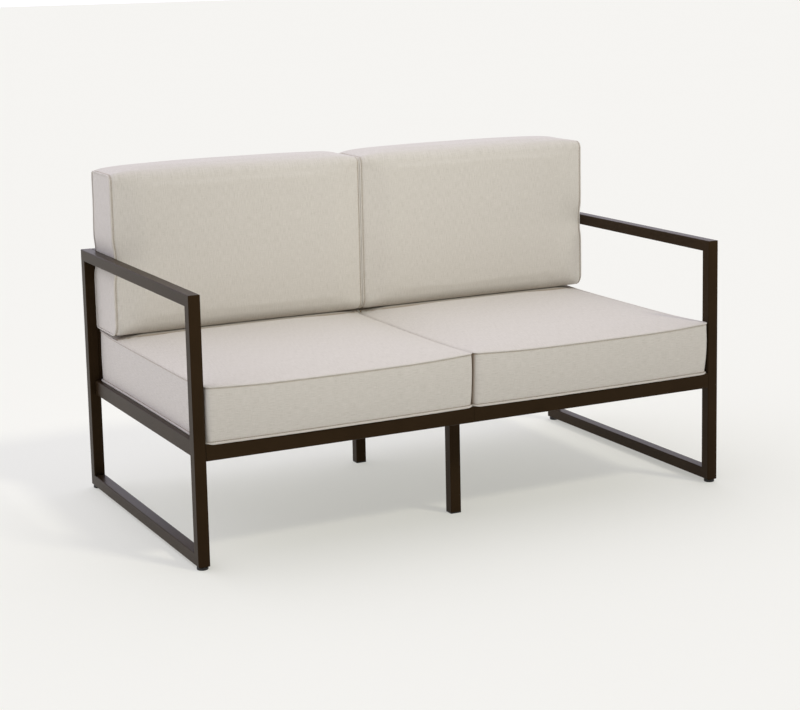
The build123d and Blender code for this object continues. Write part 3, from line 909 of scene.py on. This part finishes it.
def add_stitches(name, paths, body, material):
    """Rows of lockstitches: each thread rises out of the cloth, runs along it and dips back in."""
    points, faces, panels = [], [], []
    rings, sides = THREAD_RINGS, THREAD_SIDES
    for path, normals in paths:
        lengths = added_lengths(path)
        k = 0
        for number in range(int(lengths[-1] / STITCH_PITCH)):
            base = len(points)
            for ring in range(rings):
                share = ring / (rings - 1)
                goal = number * STITCH_PITCH + share * STITCH_LENGTH
                while k > 0 and lengths[k] > goal:
                    k -= 1
                while k < len(path) - 2 and lengths[k + 1] < goal:
                    k += 1
                part = (goal - lengths[k]) / max(lengths[k + 1] - lengths[k], 1e-9)
                run = (path[k + 1] - path[k]).normalized()
                up = normals[k].lerp(normals[k + 1], part).normalized()
                side = run.cross(up)
                arch = sin(pi * share)
                centre = path[k].lerp(path[k + 1], part) + up * THREAD_RADIUS * (1.3 * arch - 0.9)
                for s in range(sides):
                    turn = 2 * pi * s / sides
                    radius = THREAD_RADIUS * (0.6 + 0.4 * arch)
                    points.append(centre + (up * cos(turn) + side * sin(turn)) * radius)
            for ring in range(rings - 1):
                for s in range(sides):
                    t = (s + 1) % sides
                    low, high = base + ring * sides, base + (ring + 1) * sides
                    faces.append([low + s, high + s, high + t, low + t])
                    near, far = (STITCH_LENGTH * n / (rings - 1) for n in (ring, ring + 1))
                    left, right = (2 * pi * THREAD_RADIUS * n / sides for n in (s, s + 1))
                    panels += [(left, near), (left, far), (right, far), (right, near)]
            last = base + (rings - 1) * sides
            faces.append([base + s for s in range(sides)])
            faces.append([last + s for s in reversed(range(sides))])
            panels += [(0.0, 0.0)] * (2 * sides)
    new_piece(name, points, faces, material, body, panels)


def row_beside(piece, seam, inner, share):
    """A closed row of places, a share of the way from a seam to the next row, and their normals."""
    vertices = piece.data.vertices
    path = [vertices[a].co.lerp(vertices[b].co, share) for a, b in zip(seam, inner)]
    normals = [vertices[b].normal.copy() for b in inner]
    return path + path[:1], normals + normals[:1]


# Seat cushions

SEAT_CORNER = 16 * MM
SEAT_FRONT_CORNER = 16 * MM
SEAT_INNER_CORNER = 14 * MM
SEAT_PROUD = 8 * MM
SEAT_FRONT_LIMIT = 11 * MM
SEAT_FLARE = 6 * MM
SEAT_BOW = 5 * MM
SEAT_SIDE_DRAW = 2.5 * MM
SEAT_INNER_DRAW = 0.6 * MM
SEAT_FRONT_BULGE = 7 * MM
SEAT_SIDE_BULGE = 2.5 * MM
SEAT_BASE_GAP = 0.6 * MM
SEAT_EDGE_RISE = 6 * MM
SEAT_CROWN = 8 * MM
SEAT_PEAK = 6 * MM
SEAT_PEAK_REACH = 95 * MM
SEAT_DENT_PLACE = (60 * MM, 42 * MM)
SEAT_DENT_REACH = (48 * MM, 26 * MM)
SEAT_DENT = 3.5 * MM
SEAT_GROOVE = 4.5 * MM
SEAT_SEAM_DROP = 15 * MM
SEAT_SLACK = 0.2
SEAT_INNER_RAISE = (70 * MM, 32 * MM, 24 * MM, 4 * MM)
SEAT_FRONT_REACH = 60 * MM
SEAT_SLOPE_REACH = 60 * MM
SEAT_SHOULDER_REACH = 14 * MM
# Where the painted shade starts on the inner side and under the back cushion, and how it runs
SEAT_SHADE_MOUTH = (8 * MM, 3 * MM, 35 * MM, 70 * MM, 6 * MM)
SEAT_GROOVE_PLACE = (6 * MM, 16 * MM)
SEAT_PRESS = (24 * MM, 28 * MM)
SEAT_ROWS = 16
SEAT_STEPS = (72, 78)


class SeatShape:
    """Where each point of a seat cushion's cover lies."""

    def __init__(self, side):
        low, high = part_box(side + "_seat_cushion_cover")
        self.slack = SEAT_SIDE_BULGE * SEAT_SLACK
        self.low = low + Vector((self.slack, 1 * MM, SEAT_BASE_GAP))
        self.high = Vector((high.x - self.slack, high.y, high.z))
        self.crest = high.z
        self.seam_top = high.z - SEAT_SEAM_DROP
        self.seed = 3.0 if side == "left" else 11.0
        self.inner = 1 if side == "left" else -1
        self.back_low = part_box(side + "_back_cushion_cover")[0]
        corners = [Vector((self.low.x, self.low.y)), Vector((self.high.x, self.low.y)),
                   Vector((self.high.x, self.high.y)), Vector((self.low.x, self.high.y))]
        self.corners = corners
        front, rear, inner = SEAT_FRONT_CORNER, SEAT_CORNER, SEAT_INNER_CORNER
        radii = [front, inner, inner, rear] if side == "left" else [inner, front, rear, inner]
        self.sides = rounded_sides(corners, radii, SEAT_STEPS, SEAM_PULL)
        outer_x, self.inner_x = ((self.low.x, self.high.x) if side == "left"
                                 else (self.high.x, self.low.x))
        self.dent = Vector((outer_x + self.inner * SEAT_DENT_PLACE[0],
                            self.low.y + SEAT_DENT_PLACE[1]))
        self.size = Vector((self.high.x - self.low.x, self.high.y - self.low.y))

    def top_level(self, q):
        """The top seam's height: the corners stand up and the long runs between them sag.
        Under the back cushion the inner side is filled up to it, so that no gap shows."""
        nearest = min((q - corner).length for corner in self.corners)
        level = self.seam_top - SEAT_PEAK * (1 - exp(-(nearest / SEAT_PEAK_REACH) ** 1.5))
        reach, start, run, drop = SEAT_INNER_RAISE
        beside = exp(-((q.x - self.inner_x) / reach) ** 2)
        under = clamped((q.y - self.back_low.y - start) / run)
        return lerp(level, self.back_low.z - drop, beside * eased_in(under))

    def plan(self, q, share):
        """Bows the front out and draws the sides in, along the whole height."""
        u = (q.x - self.low.x) / self.size.x
        v = (q.y - self.low.y) / self.size.y
        middle = 2 * u - 1
        draw = SEAT_INNER_DRAW if middle * self.inner > 0 else SEAT_SIDE_DRAW
        x = q.x - middle * draw * bowed(v, 2.5) * abs(middle)
        near_front = (1 - v) ** 2 * (1 if v < 0.5 else 0)
        y = q.y - SEAT_BOW * bowed(u, 2.2) * near_front
        y -= SEAT_PROUD * share * exp(-((q.y - self.low.y) / SEAT_FRONT_REACH) ** 2)
        return Vector((x, y))

    def __call__(self, q, n, share, on_band):
        p = self.plan(q, share)
        top_level = self.top_level(q)
        if on_band:
            u = (q.x - self.low.x) / self.size.x
            front = max(0.0, -n.y)
            bulge = lerp(SEAT_SIDE_BULGE, SEAT_FRONT_BULGE, front)
            swell = sin(pi * share) ** 0.8 * bulge * (0.6 + 0.4 * bowed(u, 2))
            puff = noise.noise(Vector((p.x / 0.11, p.y / 0.11, share * 1.4 + self.seed)))
            p = p + n * (swell + puff * 0.9 * MM * sin(pi * share))
            return Vector((p.x, p.y, lerp(self.low.z, top_level, share)))
        a = min(q.x - self.low.x, self.high.x - q.x)
        b = min(q.y - self.low.y, self.high.y - q.y)
        if share == 0.0:
            sink = rise(a, SEAT_SLOPE_REACH, 2) * rise(b, SEAT_SLOPE_REACH, 2) * 0.3 * MM
            return Vector((p.x, p.y, self.low.z - sink))
        shoulder = rounded_rise(a, SEAT_SHOULDER_REACH) * rounded_rise(b, SEAT_SHOULDER_REACH)
        slope = rise(a, SEAT_SLOPE_REACH, 2.2) * rise(b, SEAT_SLOPE_REACH, 2.2)
        edge = 0.4 * shoulder + 0.6 * slope
        gentle = sin(pi * a / self.size.x) ** 0.8 * sin(pi * b / self.size.y) ** 0.8
        puff = noise.noise(Vector((p.x / 0.16, p.y / 0.16, self.seed))) * 1.6 * MM * edge
        off = q - self.dent
        dent = SEAT_DENT * exp(-(off.x / SEAT_DENT_REACH[0]) ** 2 - (off.y / SEAT_DENT_REACH[1]) ** 2)
        crown = SEAT_EDGE_RISE * edge + (SEAT_CROWN + SEAT_PEAK * 0.6) * gentle
        return Vector((p.x, p.y, top_level + crown + puff - dent))

    def painted_shade(self, cover):
        """Paints shade on the inner side, which presses on the other cushion, and on the top under the
        back cushion.
        """
        side_mouth, mouth, curve, reach, run = SEAT_SHADE_MOUTH
        result = {}
        for row in range(SEAT_ROWS + 1):
            for number, n in zip(cover.row(row), cover.directions):
                beside = clamped((n.x * self.inner - 0.5) / 0.3)
                depth = cover.points[number].y - self.low.y - side_mouth
                result[number] = INNER_PAINTED_SHADE * beside * painted_shade_fading(depth)
        for number in cover.high_grid.values():
            point = cover.points[number]
            a = min(point.x - self.low.x, self.high.x - point.x)
            start = self.back_low.y + mouth + curve * (1 - rise(a, reach, 2.2))
            deep = clamped((point.y - start) / run)
            result[number] = max(result.get(number, 0.0), deep * painted_shade_fading(point.y - start))
        return result

    def limit(self, point):
        """Keeps the cover in its box, flared before the post and dipped under the back cushion."""
        flare = SEAT_FLARE * clamped((CAD_BOX[0].y - 0.8 * MM - point.y) / (3 * MM))
        left, right = (flare, 0.0) if self.inner > 0 else (0.0, flare)
        point.x = min(max(point.x, self.low.x - self.slack - left), self.high.x + self.slack + right)
        point.z = max(point.z, self.low.z - 0.3 * MM)
        point.y = min(point.y, self.high.y)
        point.y = max(point.y, CAD_BOX[0].y - SEAT_FRONT_LIMIT)
        behind = point.y - self.back_low.y
        place, width = SEAT_GROOVE_PLACE
        base = self.back_low.z - 0.4 * MM - SEAT_GROOVE * exp(-((behind - place) / width) ** 2)
        share = clamped((behind + SEAT_PRESS[0]) / SEAT_PRESS[1])
        if point.z > base and share > 0:
            point.z = lerp(point.z, base, eased_in(share))
        point.z = min(point.z, self.crest - 0.2 * MM)


class SOFA_OT_seat_cushions(bpy.types.Operator):
    """Sew and fill the two seat cushions"""
    bl_idname = "garden_sofa.seat_cushions"
    bl_label = "Seat Cushions"

    def execute(self, context):
        settings = context.scene.garden_sofa_cover
        cloth = woven_canvas(settings)
        thread = twisted_thread("polyester_thread", settings.thread)
        shapes = [SeatShape(side) for side in SIDES]
        covers = [BoxedCover(shape.sides, SEAT_ROWS, shape) for shape in shapes]
        bodies = [side + "_seat_cushion" for side in SIDES]
        pieces = [make_cover(body, cover, body, cloth, shape.painted_shade(cover))
                  for body, cover, shape in zip(bodies, covers, shapes)]
        held = [sorted(cover.low_grid.values()) for cover in covers]
        fill_covers(pieces, covers, held, settings.swell_cap)
        for side, shape, cover, piece, body in zip(SIDES, shapes, covers, pieces, bodies):
            limit_cover(piece, shape.limit)
            smooth_cover(piece)
            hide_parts(body + "_cover", body + "_core")
            middle = (shape.low + shape.high) / 2
            for place, seam, lift, girth, proud in (("low", cover.low_seam, -0.25, 1.3, 0.6),
                                                    ("high", cover.high_seam, 0.7, 0.65, 0.35)):
                def outwards(p, lift=lift):
                    a = min(p.x - shape.low.x, shape.high.x - p.x)
                    b = min(p.y - shape.low.y, shape.high.y - p.y)
                    out_x = (1 if p.x > middle.x else -1) * max(0.0, 1 - a / SEAT_CORNER)
                    out_y = (1 if p.y > middle.y else -1) * max(0.0, 1 - b / SEAT_CORNER)
                    flat = Vector((out_x, out_y, 0)).normalized()
                    return (flat + Vector((0, 0, lift))).normalized()
                add_welt(body + "_" + place + "_welt", piece, seam, outwards,
                         settings.welt_radius * girth, proud, body, cloth)
            rows = [row_beside(piece, cover.low_seam, cover.row(1), STITCH_PLACE),
                    row_beside(piece, cover.high_seam, cover.row(SEAT_ROWS - 1), STITCH_PLACE)]
            add_stitches(body + "_stitches", rows, body, thread)
        return {"FINISHED"}


# Back cushions

BACK_TOP_RADIUS = 16 * MM
BACK_LOW_RADIUS = 30 * MM
BACK_REAR_RADIUS = 10 * MM
BACK_LEAN = 14 * MM
BACK_FRONT_RISE = 11 * MM
BACK_FRONT_CROWN = 7 * MM
BACK_TOP_RISE = 8 * MM
BACK_TOP_CROWN = 4 * MM
BACK_BASE_RISE = 4 * MM
BACK_PRESS = 4 * MM
BACK_PRESS_REACH = 22 * MM
BACK_ARM_GAP = (32 * MM, 4 * MM)
BACK_SIDE_BULGE = 2.5 * MM
BACK_FRONT_DEPTH = 17 * MM
BACK_SEAM_DROP = 17 * MM
# How far behind the front the painted shade on the bottom edge starts
BACK_SHADE_MOUTH = 32 * MM
BACK_EDGE_REACH = (20 * MM, 70 * MM)
BACK_END_REACH = (60 * MM, 80 * MM)
ARM_TOP = 623 * MM
BACK_ROWS = 76
BACK_STEPS = (20, 50)


class BackShape:
    """Where each point of a back cushion's cover lies: its outline is in Y and Z, and its band runs
    along X."""

    def __init__(self, side):
        low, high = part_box(side + "_back_cushion_cover")
        self.box_low, self.box_high = low, high
        self.arm_low, self.arm_high = ARM_TOP - BACK_ARM_GAP[0], ARM_TOP + BACK_ARM_GAP[1]
        inset = BACK_SIDE_BULGE * 0.4
        self.low = Vector((low.x + inset, low.y + BACK_FRONT_DEPTH, low.z + 0.5 * MM))
        self.high = Vector((high.x - inset, high.y - 0.5 * MM, high.z - BACK_SEAM_DROP))
        self.seed = 23.0 if side == "left" else 31.0
        self.outer = -1 if side == "left" else 1
        corners = [Vector((self.low.y, self.low.z)), Vector((self.high.y, self.low.z)),
                   Vector((self.high.y, self.high.z)), Vector((self.low.y, self.high.z))]
        radii = [BACK_LOW_RADIUS, BACK_REAR_RADIUS, BACK_REAR_RADIUS, BACK_TOP_RADIUS]
        self.sides = rounded_sides(corners, radii, BACK_STEPS, SEAM_PULL)
        self.size = self.high - self.low

    def profile(self, q):
        """Leans the rear of the end panel forwards above the arms."""
        tall = (q.y - self.low.z) / self.size.z
        deep = (q.x - self.low.y) / self.size.y
        lean = BACK_LEAN * clamped((tall - 0.3) / 0.5) ** 1.3
        return Vector((q.x - lean * deep, q.y))

    def __call__(self, q, n, share, on_band):
        p = self.profile(q)
        tall = (q.y - self.low.z) / self.size.z
        if on_band:
            x = lerp(self.low.x, self.high.x, share)
            a = min(x - self.low.x, self.high.x - x)
            near, far = BACK_EDGE_REACH
            steep = 0.7 * rounded_rise(a, near) + 0.3 * rise(a, far, 2.2)
            gentle = sin(pi * share) ** 0.8
            front, top, rear, base = max(0.0, -n.x), max(0.0, n.y), max(0.0, n.x), max(0.0, -n.y)
            out = front * (BACK_FRONT_RISE * steep + BACK_FRONT_CROWN * gentle * bowed(tall, 2.5))
            out += top * (BACK_TOP_RISE * steep + BACK_TOP_CROWN * gentle)
            out += rear * 0.3 * MM * steep + base * BACK_BASE_RISE * steep
            puff = noise.noise(Vector((x / 0.15, p.x / 0.15, p.y / 0.15 + self.seed))) * 1.4 * MM
            out += (front + top) * puff * steep
            p = p + n * out
            outer_share = share if self.outer > 0 else 1 - share
            x += self.outer * self.press(q) * max(0.0, outer_share - 0.8) / 0.2
            return Vector((x, p.x, p.y))
        side = -1 if share == 0.0 else 1
        a = min(q.x - self.low.y, self.high.y - q.x)
        b = min(q.y - self.low.z, self.high.z - q.y)
        swell = rise(a, BACK_END_REACH[0], 2) * rise(b, BACK_END_REACH[1], 2)
        x = (self.low.x if share == 0.0 else self.high.x) + side * BACK_SIDE_BULGE * swell
        if side == self.outer:
            x += side * self.press(q)
        return Vector((x, p.x, p.y))

    def press(self, q):
        """How far the outer side presses out beyond the arm's face, above and below the arm."""
        off = max(self.arm_low - q.y, q.y - self.arm_high, 0.0)
        return BACK_PRESS * (1 - exp(-(off / BACK_PRESS_REACH) ** 2))

    def painted_shade(self, cover):
        """Paints shade on the inner side and on the edge that stands on the seat."""
        result = {}
        for row in range(BACK_ROWS + 1):
            for number, n in zip(cover.row(row), cover.directions):
                deep = clamped((-n.y - 0.82) / 0.13)
                result[number] = deep * painted_shade_fading(cover.points[number].y - self.low.y - BACK_SHADE_MOUTH)
        inner = cover.high_grid if self.outer < 0 else cover.low_grid
        for number in inner.values():
            point = cover.points[number]
            a = min(point.y - self.low.y, self.high.y - point.y,
                    point.z - self.low.z, self.high.z - point.z)
            result[number] = INNER_PAINTED_SHADE * painted_shade_fading(a)
        return result

    def limit(self, point):
        """Keeps the cover in its box, apart from what presses out beside the arm."""
        press = self.press(Vector((point.y, point.z)))
        left, right = (press, 0.0) if self.outer < 0 else (0.0, press)
        point.x = min(max(point.x, self.box_low.x - left), self.box_high.x + right)
        point.y = min(point.y, self.box_high.y - 0.2 * MM)
        point.z = max(point.z, self.box_low.z + 0.3 * MM)
        point.y = max(point.y, self.box_low.y - 2 * MM)
        point.z = min(point.z, self.box_high.z)


def closing_row(piece, grid, cover):
    """The row along the top of an end panel, where the cover is sewn shut after the foam goes in."""
    vertices = piece.data.vertices
    path, normals = [], []
    for i in range(1, cover.across):
        edge, inner = grid[i, cover.along], grid[i, cover.along - 1]
        path.append(vertices[edge].co.lerp(vertices[inner].co, CLOSING_PLACE))
        normals.append(vertices[inner].normal.copy())
    return path, normals


class SOFA_OT_back_cushions(bpy.types.Operator):
    """Sew and fill the two back cushions"""
    bl_idname = "garden_sofa.back_cushions"
    bl_label = "Back Cushions"

    def execute(self, context):
        settings = context.scene.garden_sofa_cover
        cloth = bpy.data.materials["woven_canvas"]
        thread = bpy.data.materials["polyester_thread"]
        closing = twisted_thread("closing_thread", settings.closing_thread)
        shapes = [BackShape(side) for side in SIDES]
        covers = [BoxedCover(shape.sides, BACK_ROWS, shape) for shape in shapes]
        bodies = [side + "_back_cushion" for side in SIDES]
        pieces = [make_cover(body, cover, body, cloth, shape.painted_shade(cover))
                  for body, cover, shape in zip(bodies, covers, shapes)]
        fill_covers(pieces, covers, [[], []], settings.swell_cap)
        for shape, cover, piece, body in zip(shapes, covers, pieces, bodies):
            limit_cover(piece, shape.limit)
            smooth_cover(piece)
            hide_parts(body + "_cover", body + "_core")
            middle = (shape.low + shape.high) / 2
            for place, seam, side in (("left", cover.low_seam, -0.5), ("right", cover.high_seam, 0.5)):
                def outwards(p, side=side):
                    a = min(p.y - shape.low.y, shape.high.y - p.y)
                    b = min(p.z - shape.low.z, shape.high.z - p.z)
                    out_y = (1 if p.y > middle.y else -1) * max(0.0, 1 - a / BACK_TOP_RADIUS)
                    out_z = (1 if p.z > middle.z else -1) * max(0.0, 1 - b / BACK_TOP_RADIUS)
                    flat = Vector((0, out_y, out_z)).normalized()
                    return (flat + Vector((side, 0, 0))).normalized()
                add_welt(body + "_" + place + "_welt", piece, seam, outwards,
                         settings.welt_radius, 0.35, body, cloth)
            rows = [row_beside(piece, cover.low_seam, cover.row(1), STITCH_PLACE),
                    row_beside(piece, cover.high_seam, cover.row(BACK_ROWS - 1), STITCH_PLACE)]
            add_stitches(body + "_stitches", rows, body, thread)
            closings = [closing_row(piece, grid, cover) for grid in (cover.low_grid, cover.high_grid)]
            add_stitches(body + "_closing_stitches", closings, body, closing)
        return {"FINISHED"}


# Panel and registration

STEPS = ("stage", "frame", "fittings", "seat_cushions", "back_cushions")


class SOFA_PT_panel(bpy.types.Panel):
    """Lists the sofa's settings and the steps that build it"""
    bl_idname = "SOFA_PT_panel"
    bl_label = "Garden Sofa"
    bl_space_type = "VIEW_3D"
    bl_region_type = "UI"
    bl_category = "Garden Sofa"

    def draw(self, context):
        for group in (context.scene.garden_sofa_cover, context.scene.garden_sofa_frame,
                      context.scene.garden_sofa_stage):
            box = self.layout.box()
            for name in group.__annotations__:
                box.prop(group, name)
        for step in STEPS:
            self.layout.operator("garden_sofa." + step)


CLASSES = (SofaCoverSettings, SofaFrameSettings, SofaStageSettings, SOFA_OT_stage, SOFA_OT_frame,
           SOFA_OT_fittings, SOFA_OT_seat_cushions, SOFA_OT_back_cushions, SOFA_PT_panel)
GROUPS = {"garden_sofa_cover": SofaCoverSettings, "garden_sofa_frame": SofaFrameSettings,
          "garden_sofa_stage": SofaStageSettings}


def register():
    for item in CLASSES:
        bpy.utils.register_class(item)
    for name, group in GROUPS.items():
        setattr(bpy.types.Scene, name, bpy.props.PointerProperty(type=group))


def unregister():
    for name in GROUPS:
        delattr(bpy.types.Scene, name)
    for item in reversed(CLASSES):
        bpy.utils.unregister_class(item)


def main():
    register()
    for step in STEPS:
        getattr(bpy.ops.garden_sofa, step)()


if __name__ == "__main__":
    main()
